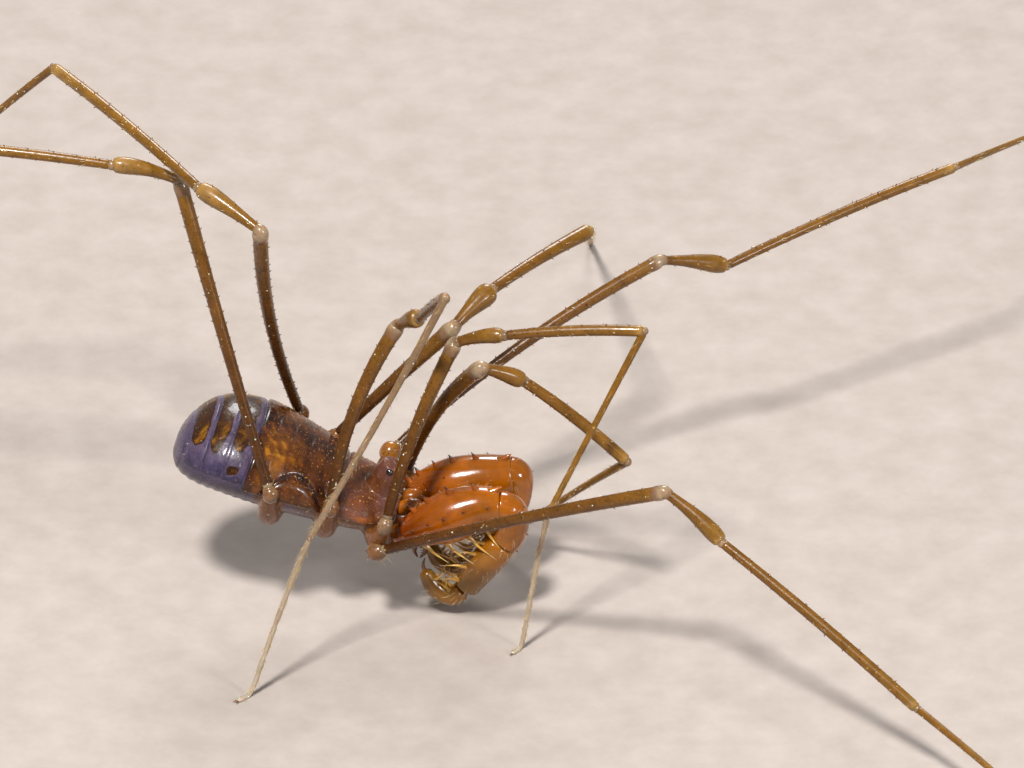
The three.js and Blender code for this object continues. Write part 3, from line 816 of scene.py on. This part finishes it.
# Rows of long spines: part, from, to, count, angle from the top, length, radius, lean along the part
PALP_SPINES = [
    ("femur", 0.22, 0.8, 4, 160.0, 0.7, 0.055, 0.35),
    ("femur", 0.16, 0.72, 4, 205.0, 0.6, 0.05, 0.4),
    ("patella", 0.5, 0.85, 3, 165.0, 0.45, 0.045, 0.2),
    ("patella", 0.6, 0.85, 2, 205.0, 0.4, 0.04, 0.2),
    ("tibia", 0.3, 0.95, 5, 24.0, 0.66, 0.045, 0.05),
    ("tibia", 0.35, 0.9, 4, -22.0, 0.55, 0.042, 0.05),
    ("tarsus", 0.3, 0.8, 3, 25.0, 0.4, 0.032, 0.2),
    ("tarsus", 0.3, 0.8, 3, -25.0, 0.4, 0.032, 0.2),
]
# The femur begins darkest next to the body: painted shade at the palp's base
PALP_TONES = {"femur": (0.05, 0.45), "patella": (0.4, 0.5), "tibia": (0.55, 0.95), "tarsus": (0.8, 1.0)}
# How far each part's ends take to round off: the near end, then the far one
PALP_CAPS = {"femur": (0.16, 0.07), "patella": (0.07, 0.1), "tibia": (0.14, 0.14), "tarsus": (0.12, 0.12)}
PALP_HAIRS = {"femur": 40, "patella": 30, "tibia": 90, "tarsus": 60}


def palp_shell(side, part, rows):
    """One smooth part of a palp, gently uneven. Returns its line and radii, to set spines on."""
    count, sides = 90, 40
    data = smooth_line(rows, count)
    line, radii = data[:, :3].copy(), data[:, 3]
    remember(line)
    swell = 1 + 0.018 * fbm(line, 2.2, seed=5)
    rings = tube_rings(line, rounded(radii * swell, arc_lengths(line), *PALP_CAPS[part]), sides)
    verts, faces = lofted(rings)
    verts = verts + 0.01 * fbm(verts, 4.0, seed=8)[:, None] * unit(np.array([1.0, 1.0, 1.0]))
    tones = loft_tones(np.linspace(*PALP_TONES[part], count), sides)
    shell = Build()
    shell.add(verts, faces, tones + 0.07 * fbm(verts, 2.0, seed=9))
    shell.make(f"palp_{side}_{part}_shell", PALP, "palp", [f"palp_{side}_{part}"])
    return line, radii


def palp_armour(spots, inner, base, tip, gold, fine):
    """The thorns, the long spines, the pointed knee corner and the claw of one palp."""
    for part, start, stop, number, degrees, size in PALP_THORNS:
        for k in range(number):
            s = start + (stop - start) * k / (number - 1) + RNG.uniform(-0.015, 0.015)
            root, out, along = around(*spots[part], s, math.radians(degrees) * inner, 0.97)
            way = unit(out - along * 0.25)
            thorn(base, tip, root, way, size * RNG.uniform(0.85, 1.1), -along * 0.15)
    for part, start, stop, number, degrees, length, radius, lean in PALP_SPINES:
        for k in range(number):
            s = start + (stop - start) * k / (number - 1)
            root, out, along = around(*spots[part], s, math.radians(degrees) * inner, 0.95)
            way = unit(out + along * lean)
            long_spine(gold, fine, root, way, length * RNG.uniform(0.8, 1.1), radius, along * 0.2)
    root, out, along = around(*spots["femur"], 0.97, 0.0, 0.88)
    corner = unit(along + out * 0.55)
    spike(base, root - along * 0.2, corner, 0.36, 0.13, sides=14, steps=7, tone=(0.35, 0.2))
    toe = spots["tarsus"][0]
    way = unit(toe[-1] - toe[-12])
    spike(tip, toe[-1] - way * 0.05, way, 0.42, 0.07, bend=np.array([0.45, 0, 0.05]), sides=9, steps=8)


def palp_hairs(spots, hairs):
    parts = list(PALP_HAIRS)
    for part, number in PALP_HAIRS.items():
        for _ in range(number):
            s, angle = any_spot(0.05, 0.95)
            root, out, along = around(*spots[part], s, angle)
            uv = (0.02 + 0.22 * (parts.index(part) + s), 0.02 + 0.9 * angle / (2 * math.pi))
            way = unit(out + along * 0.8)
            spike(hairs, root, way, RNG.uniform(0.1, 0.26), 0.006, along * 0.2, 3, 3, uv=uv)


def make_palps():
    for side, parts in PALPS.items():
        inner = 1 if side == "right" else -1
        base, tip, gold, fine, hairs = Build(), Build(), Build(), Build(), Build()
        spots = {part: palp_shell(side, part, rows) for part, rows in parts.items()}
        palp_armour(spots, inner, base, tip, gold, fine)
        palp_hairs(spots, hairs)
        hip = np.array(parts["femur"][0][:3])
        ellipsoid(base, hip + [-0.02, 0.1 * inner, 0.0], 0.27, (1.0, 1.05, 0.95), 0.2)
        base.make(f"palp_{side}_tubercles", PALP, "palp")
        tip.make(f"palp_{side}_thorn_tips", THORN, "palp")
        gold.make(f"palp_{side}_spines", GOLD, "palp")
        fine.make(f"palp_{side}_bristles", HAIR, "palp", uv_map=True)
        hairs.make(f"palp_{side}_hairs", HAIR, "palp", uv_map=True)


# Chelicerae: each one's place across, then rows of [x, z, radius] for its parts
CHELICERA_SIDE = {"right": -0.62, "left": -0.16}
CHELICERA_PARTS = [
    ([[-2.95, 2.66, 0.14], [-2.72, 2.76, 0.2], [-2.45, 2.8, 0.225], [-2.28, 2.68, 0.17]], (0.3, 0.45)),
    ([[-2.36, 2.68, 0.15], [-2.2, 2.5, 0.235], [-2.14, 2.15, 0.25], [-2.22, 1.78, 0.17]], (0.35, 0.5)),
]
CHELICERA_FINGERS = [
    [[-2.16, 1.82, 0.1], [-2.14, 1.6, 0.085], [-2.2, 1.42, 0.05], [-2.32, 1.28, 0.015]],
    [[-2.3, 1.88, 0.1], [-2.42, 1.66, 0.08], [-2.44, 1.48, 0.05], [-2.36, 1.3, 0.015]],
]
CHELICERA_TEETH = 6
CHELICERA_BRISTLES = 26


def make_chelicerae():
    for side, y in CHELICERA_SIDE.items():
        shell, dark, bristles = Build(), Build(), Build()
        for rows, tone in CHELICERA_PARTS:
            limb(shell, [[x, y, z, radius] for x, z, radius in rows], tone=tone)
        for rows in CHELICERA_FINGERS:
            limb(dark, [[x, y, z, radius] for x, z, radius in rows], sides=14, cap=0.03, tone=(0.0, 0.9))
        for k in range(CHELICERA_TEETH):
            root = np.array([-2.2 - 0.012 * k, y, 1.72 - 0.07 * k])
            spike(dark, root, np.array([-1.0, 0, 0.1]), 0.05, 0.02)
        for _ in range(CHELICERA_BRISTLES):
            out = unit(RNG.normal(size=3) + [0.6, 0, 0])
            root = np.array([-2.17, y, 2.2]) + out * [0.2, 0.2, 0.4]
            way, uv = unit(out + [0, 0, -0.5]), flat_place(out + [-2.2, 0, 2.2])
            spike(bristles, root, way, RNG.uniform(0.1, 0.22), 0.009, None, 4, 3, (0.3, 1.0), uv)
        shell.make(f"chelicera_{side}_shell", PALP, "palp", [f"chelicera_{side}"])
        dark.make(f"chelicera_{side}_fingers", THORN, "palp")
        bristles.make(f"chelicera_{side}_bristles", HAIR, "palp", uv_map=True)


# Body


def welded(pieces, voxel, steps):
    """One smooth closed skin round overlapping closed pieces, all in millimetres."""
    mesh = bpy.data.meshes.new("weld")
    all_pieces = Build()
    for verts, faces in pieces:
        all_pieces.add(verts, faces)
    mesh.from_pydata(np.vstack(all_pieces.verts).tolist(), [], all_pieces.faces)
    ob = placed("weld", mesh)
    remesh = ob.modifiers.new("remesh", "REMESH")
    remesh.mode = "VOXEL"
    remesh.voxel_size = voxel
    smooth = ob.modifiers.new("smooth", "SMOOTH")
    smooth.iterations = steps
    bpy.context.view_layer.update()
    result = ob.evaluated_get(bpy.context.evaluated_depsgraph_get()).to_mesh()
    places = np.zeros(len(result.vertices) * 3)
    result.vertices.foreach_get("co", places)
    out = [list(p.vertices) for p in result.polygons]
    bpy.data.objects.remove(ob)
    bpy.data.meshes.remove(mesh)
    return places.reshape(-1, 3), out


def coxa_line(leg):
    """A leg's first piece: from under the body, along its side, out to the leg's first ball."""
    along, left, up = to_body(LEGS[leg]["joints"][0])
    inner = along * 0.88 + 0.2
    centre, down = (np.interp(inner, CURVE[:, 0], CURVE[:, k]) for k in (1, 4))
    places = [
        [inner, left * 0.28, centre - down + 0.24],
        [inner * 0.6 + along * 0.4, left * 0.68, centre - down * 0.7],
        [along, left * 0.93, up * 0.7 + (centre - down * 0.5) * 0.3],
        [along, left, up],
    ]
    return np.column_stack([to_world(places), [0.3, 0.3, 0.2, 0.16]])


# Lobes round the mouth, on each side: rows of [along, aside, up, radius] in the body's own axes
MOUTH_LOBES = [
    [[2.2, 0.5, -0.4, 0.3], [2.7, 0.5, -0.75, 0.34], [2.85, 0.42, -1.1, 0.26], [2.8, 0.35, -1.35, 0.14]],
    [[2.2, 0.85, -0.3, 0.3], [2.75, 0.75, -0.55, 0.33], [3.0, 0.72, -0.6, 0.28]],
]
SKIN_VOXEL = 0.035


def skin_limb(data, cap, sides=20):
    """A closed limb for the skin, from rows of place and radius."""
    line = data[:, :3]
    return lofted(tube_rings(line, rounded(data[:, 3], arc_lengths(line), cap), sides))


def make_skin():
    """The trunk's underside, the coxae and the lobes round the mouth, as one skin."""
    rows, sides = 120, 80
    a = np.linspace(-2.92, 2.91, rows)[:, None]
    angle = (np.arange(sides) * 2 * math.pi / sides)[None, :]
    pieces = [lofted(to_world(trunk_local(a, angle, -0.014)))]
    coxae = []
    for leg in LEGS:
        data = smooth_line(coxa_line(leg), 24)[:-2]
        coxae.append(data[:, :3])
        pieces.append(skin_limb(data, 0.15))
    for side in (-1, 1):
        for lobe in MOUTH_LOBES:
            local = np.array(lobe)
            local[:, 1] *= side
            data = smooth_line(np.column_stack([to_world(local[:, :3]), local[:, 3]]), 20)
            pieces.append(skin_limb(data, 0.2))
    verts, faces = welded(pieces, SKIN_VOXEL, 5)
    local = to_body(verts)
    tone = smoothstep(-1.0, 1.1, local[:, 0] + 0.25 * fbm(verts, 1.6, seed=2)) * 0.75
    tone += 0.15 * smoothstep(1.3, 2.4, local[:, 0])
    for line in coxae:
        reach = np.min(np.linalg.norm(verts[:, None] - line[None, ::3], axis=2), axis=1)
        tone = np.maximum(tone, 0.85 * smoothstep(0.5, 0.36, reach))
    folds = np.sin(local[:, 0] * 26 + 2 * fbm(verts, 1.5, seed=3))
    wrinkle = 0.012 * folds * smoothstep(0.2, -0.8, local[:, 0])
    verts = verts + (BODY @ np.array([0, 0, 1.0])) * (wrinkle * np.sign(local[:, 2] + 0.0001))[:, None]
    skin = Build()
    skin.add(verts, faces, tone)
    skin.make("trunk_skin", SKIN, "underside", ["venter"])


# How far below the trunk's surface a plate's rim and its underside lie
PLATE_EDGE = 0.022
PLATE_DEPTH = 0.09


def plate(name, a0, a1, low, high, material, slot, node, rows, sides, relief, tone, raised=0.05):
    """A curved plate on the trunk, with rounded edges, between two places along and two angles."""
    a = np.linspace(a0, a1, rows)[:, None]
    angle = np.linspace(math.radians(low), math.radians(high), sides)[None, :]
    from_ends = np.minimum(a - a0, a1 - a) / 0.1
    from_sides = np.minimum(angle - angle[0, 0], angle[0, -1] - angle) / 0.12
    inset = np.minimum(from_ends, from_sides)
    soft = np.clip(inset, 0, 1)
    lift = np.sqrt(np.clip(1 - (1 - soft) ** 2, 0, 1))
    local = trunk_local(a, angle)
    out = -PLATE_EDGE + (PLATE_EDGE + raised) * lift + relief(local, a, angle) * smoothstep(0, 1, inset)
    top = to_world(trunk_local(a, angle, out))
    below = to_world(trunk_local(a, angle, -PLATE_DEPTH))
    n = rows * sides
    faces = grid_faces(rows, sides, closed=False)
    faces += [[i + n for i in f[::-1]] for f in faces]
    rim = [*range(sides)]
    rim += [r * sides + sides - 1 for r in range(1, rows)]
    rim += [(rows - 1) * sides + s for s in range(sides - 2, -1, -1)]
    rim += [r * sides for r in range(rows - 2, 0, -1)]
    faces += [[j, i, n + i, n + j] for i, j in zip(rim, rim[1:] + rim[:1])]
    values = np.broadcast_to(tone(local, a, angle), (rows, sides)).ravel()
    shell = Build()
    shell.add(np.vstack([top.reshape(-1, 3), below.reshape(-1, 3)]), faces, np.tile(values, 2))
    shell.make(name, material, slot, [node])
    return top


def surface_points(top, number, gap):
    """Seeded places on a plate's top, at least a gap apart, with the way out of it."""
    rows, sides = top.shape[:2]
    chosen = []
    for _ in range(number * 6):
        r, s = RNG.integers(3, rows - 3), RNG.integers(3, sides - 3)
        place = top[r, s]
        if all(np.abs(place - c[0]).sum() > gap for c in chosen):
            normal = np.cross(top[r, s + 1] - top[r, s - 1], top[r + 1, s] - top[r - 1, s])
            chosen.append((place, unit(normal)))
        if len(chosen) == number:
            break
    return chosen


# The eye mound on the carapace, the eyes on it, and the scutum's cross grooves, by place along
MOUND = {"along": 2.37, "height": 0.7, "top": 0.2, "foot": 0.52}
EYE = {"side": 0.265, "along": 2.38, "high": 0.94, "radius": 0.105}
SCUTUM_GROOVES = [-0.62, -0.18, 0.3, 0.78]


def carapace_relief(local, a, angle):
    d = np.sqrt((local[..., 0] - MOUND["along"]) ** 2 + local[..., 1] ** 2)
    above = local[..., 2] > -0.1
    rise = MOUND["height"] * (1 - smoothstep(MOUND["top"], MOUND["foot"], d))
    rise = rise - 0.5 * np.minimum(d, 0.3) ** 2
    near = smoothstep(0.75, 0.5, d)
    return above * rise * near + 0.008 * fbm(local, 5.0, seed=11)


def lobe_edge(a):
    """Where the scutum's side lobe begins, as an angle from the top: an arch along the body."""
    return 0.98 + 0.95 * np.clip(np.abs(a - 0.25) / 0.95, 0, 1.2) ** 2


def from_top(angle):
    return np.abs(angle - math.pi / 2)


def scutum_relief(local, a, angle):
    side = from_top(angle)
    out = 0.012 * fbm(local, 4.0, seed=4)
    for groove in SCUTUM_GROOVES:
        out = out - 0.014 * hump(a, groove + 0.1 * (side / 1.5) ** 2, 0.05) * smoothstep(1.25, 0.9, side)
    arch = lobe_edge(a) - side
    out = out + 0.07 * smoothstep(0.05, -0.25, arch) * smoothstep(1.75, 1.5, side)
    return out - 0.05 * hump(arch, 0.03, 0.06)


def scutum_tone(local, a, angle):
    side = from_top(angle)
    gold = 0.42 * np.clip(fbm(local, 26.0, seed=23) + 0.1, 0, 1)
    gold = gold * smoothstep(1.1, 0.7, side) * smoothstep(0.6, -0.6, a)
    tone = 0.55 + gold + 0.25 * fbm(local, 1.6, seed=21)
    tone = tone - 0.5 * smoothstep(-0.7, -0.95, a) - 0.2 * smoothstep(1.0, 1.3, a)
    # Darker along the cross grooves: painted shade in the grooves
    for groove in SCUTUM_GROOVES:
        tone = tone - 0.14 * hump(a, groove + 0.1 * (side / 1.5) ** 2, 0.07)
    arch = lobe_edge(a) - side
    # Darker in the groove at the side lobe's edge, painted shade; lighter on the rear of the side lobes
    tone = tone - 0.3 * hump(arch, 0.05, 0.07) + 0.2 * smoothstep(0.1, 0.4, arch) * smoothstep(0.3, -0.5, a)
    return np.clip(tone - 0.3 * smoothstep(0.35, 0.0, side) - 0.2 * smoothstep(0.8, 1.3, a), 0, 1)


def carapace_tone(local, a, angle):
    side = from_top(angle)
    low_front = hump(a, 2.1, 0.35) * smoothstep(1.25, 1.5, side)
    tone = 0.42 + 0.1 * fbm(local, 2.5, seed=31) + 0.55 * low_front
    return np.clip(tone - 0.3 * smoothstep(1.5, 1.36, a), 0, 1)


def tergite_tone(a0, a1, low_spot):
    """Rounded dark patches on violet, with a small spot lower down on the first plate."""
    def tone(local, a, angle):
        side = from_top(angle) + 0.08 * fbm(local, 2.4, seed=41) + 0.05 * fbm(local, 9.0, seed=45)
        across = (a - a0) / (a1 - a0) + 0.1 * fbm(local, 4.5, seed=42) - 0.4
        reach = 0.98 - 0.1 * low_spot
        end = np.clip(side - reach + 0.3, 0, None) / 0.3
        middle = smoothstep(1.15, 0.8, np.sqrt((across / 0.38) ** 2 + end**2))
        spot = low_spot * smoothstep(1.2, 0.7, np.sqrt((across / 0.28) ** 2 + ((side - 1.28) / 0.14) ** 2))
        patch = np.maximum(middle, spot)
        gold = 0.5 * np.clip(fbm(local, 14.0, seed=43), -0.2, 1) * smoothstep(0.2, 0.7, side)
        top = smoothstep(0.7, 0.1, side)
        violet = 0.13 - 0.13 * smoothstep(0.95, 1.5, side) + 0.06 * top
        return np.clip(violet + patch * (0.5 - 0.16 * top + gold), 0, 1)
    return tone


def rough_relief(local, a, angle):
    return 0.008 * fbm(local, 5.0, seed=12)


def anal_tone(local, a, angle):
    return 0.08 + 0.08 * fbm(local, 4.0, seed=44)


# Plates behind the scutum: name, node, from, to, lowest and highest angle, rows, sides, its colours
TERGITES = [
    ("tergite_1_shell", "free_tergite_1", -1.6, -1.06, 0, 180, 60, 150, tergite_tone(-1.6, -1.06, 1.0)),
    ("tergite_2_shell", "free_tergite_2", -2.13, -1.64, 0, 180, 60, 150, tergite_tone(-2.13, -1.64, 0.0)),
    ("tergite_3_shell", "free_tergite_3", -2.64, -2.17, 0, 180, 60, 130, tergite_tone(-2.64, -2.17, 0.0)),
    ("anal_shell", "anal_plate", -2.91, -2.69, -40, 220, 30, 110, anal_tone),
]
TERGITE_RAISED = 0.006


def make_back():
    """The plates of the back, then their granules and short hairs."""
    granules, setae = Build(), Build()
    scutum = plate("scutum_shell", -1.02, 1.33, -8, 188, SHIELD, "shield", "scutum", 130, 170,
                   scutum_relief, scutum_tone)
    carapace = plate("carapace_shell", 1.37, 2.9, -8, 188, CARAPACE, "shield", "carapace", 130, 220,
                     carapace_relief, carapace_tone)
    tops = [(scutum, 260, 0.11, 0.018), (carapace, 300, 0.08, 0.016)]
    for name, node, a0, a1, low, high, rows, sides, tone in TERGITES:
        top = plate(name, a0, a1, low, high, TERGITE, "tergite", node, rows, sides,
                    rough_relief, tone, TERGITE_RAISED)
        tops.append((top, 30, 0.12, 0.014))
    backwards = BODY @ np.array([-0.7, 0, 0])
    for top, number, gap, radius in tops:
        for place, normal in surface_points(top, number, gap):
            wide, tone = radius * RNG.uniform(0.7, 1.2), RNG.uniform(0.4, 1.0)
            dome(granules, place, normal, wide, radius * 0.9, tone)
        for place, normal in surface_points(top, number // 5, gap * 2):
            local = to_body(place)
            uv = (0.05 + 0.15 * (local[0] + 3), 0.05 + 0.2 * (local[1] + 2))
            length = RNG.uniform(0.07, 0.13)
            spike(setae, place, unit(normal + backwards), length, 0.006, sides=3, steps=2, uv=uv)
    granules.make("back_granules", GRANULE, "shield")
    setae.make("back_hairs", HAIR, "shield", uv_map=True)


def make_eyes():
    mat, tree, p = new_material("black_eye")
    cloud = noise(tree, 4000.0)
    tree.links.new(ramp(tree, cloud, [(0.3, (0.004, 0.003, 0.003)), (0.8, (0.02, 0.012, 0.01))]),
                   p.inputs["Base Color"])
    set_inputs(p, {"Roughness": 0.05, "Coat Weight": 1.0})
    for side, sign in (("right", -1), ("left", 1)):
        lens = Build()
        ellipsoid(lens, to_world([EYE["along"], sign * EYE["side"], EYE["high"]]), EYE["radius"])
        lens.make(f"eye_{side}_lens", mat, "eye", [f"eye_{side}"])


def make_mouth_hairs():
    hairs = Build()
    for sign in (-1, 1):
        for _ in range(70):
            along, aside = 2.72 + RNG.uniform(-0.15, 0.2), sign * (0.42 + RNG.uniform(-0.25, 0.3))
            root = to_world(np.array([along, aside, -1.2]) + [0, 0, RNG.uniform(-0.12, 0.3)])
            way = unit(np.array([0.25, sign * 0.15, -1.0]) + RNG.normal(size=3) * 0.3)
            uv = (0.3 + 0.1 * RNG.random(), 0.5 + sign * 0.1)
            spike(hairs, root, way, RNG.uniform(0.2, 0.42), 0.009, np.array([0.2, 0, 0]), 3, 3, uv=uv)
    hairs.make("mouth_hairs", HAIR, "palp", uv_map=True)


# Floor, light and camera

FLOOR_SIZE = 8.0
FLOOR_COLOURS = [(0.3, (0.36, 0.31, 0.28)), (0.7, (0.42, 0.37, 0.34))]
VIEW_ELEVATION = math.radians(32)
LENS = 1000.0
SENSOR = 36.0
FRAME_WIDTH = 25.6
AIM = np.array([0.0, 0.0, 6.036])
# Lights, in metres: name, place, size, power, colour
LIGHTS = [
    ("key", (-0.06, -0.13, 0.28), 0.045, 1.4, (1.0, 0.97, 0.93)),
    ("side", (0.22, -0.18, 0.14), 0.06, 0.36, (0.95, 0.97, 1.0)),
    ("back", (0.03, 0.28, 0.2), 0.12, 0.55, (1.0, 1.0, 1.0)),
]
LIT_PLACE = Vector((0.0, 0.0, 0.004))


def make_stage():
    mesh = bpy.data.meshes.new("floor")
    h = FLOOR_SIZE / 2
    mesh.from_pydata([(-h, -h, 0), (h, -h, 0), (h, h, 0), (-h, h, 0)], [], [(0, 1, 2, 3)])
    floor = placed("floor", mesh)
    mat, tree, p = new_material("pale_floor")
    grain = noise(tree, 900.0, 6.0, 0.6)
    tree.links.new(ramp(tree, grain, FLOOR_COLOURS), p.inputs["Base Color"])
    set_inputs(p, {"Roughness": 0.85})
    mesh.materials.append(mat)


def look_along(ob, way):
    ob.rotation_mode = "QUATERNION"
    ob.rotation_quaternion = way.to_track_quat("-Z", "Y")


def area_light(name, place, size, power, colour):
    data = bpy.data.lights.new(name, "AREA")
    data.shape = "DISK"
    data.size = size
    data.energy = power
    data.color = colour
    ob = placed(name, data)
    ob.location = place
    look_along(ob, LIT_PLACE - Vector(place))


def make_light():
    for light in LIGHTS:
        area_light(*light)
    world = bpy.data.worlds.new("studio")
    world.use_nodes = True
    set_inputs(world.node_tree.nodes["Background"], {"Color": (0.86, 0.83, 0.8, 1), "Strength": 0.3})
    bpy.context.scene.world = world


def make_camera():
    data = bpy.data.cameras.new("camera")
    data.lens = LENS
    data.sensor_width = SENSOR
    data.clip_start = 0.01
    data.clip_end = 20.0
    cam = placed("camera", data)
    aim = (AIM - ORIGIN) * MM
    distance = FRAME_WIDTH * MM * LENS / SENSOR
    back = Vector((0, -math.cos(VIEW_ELEVATION), math.sin(VIEW_ELEVATION)))
    cam.location = Vector(aim) + back * distance
    look_along(cam, -back)
    bpy.context.scene.camera = cam


make_legs()
make_trochanters()
make_palps()
make_chelicerae()
make_skin()
make_back()
make_eyes()
make_mouth_hairs()
make_stage()
make_light()
make_camera()
bpy.context.scene.view_settings.view_transform = "Standard"
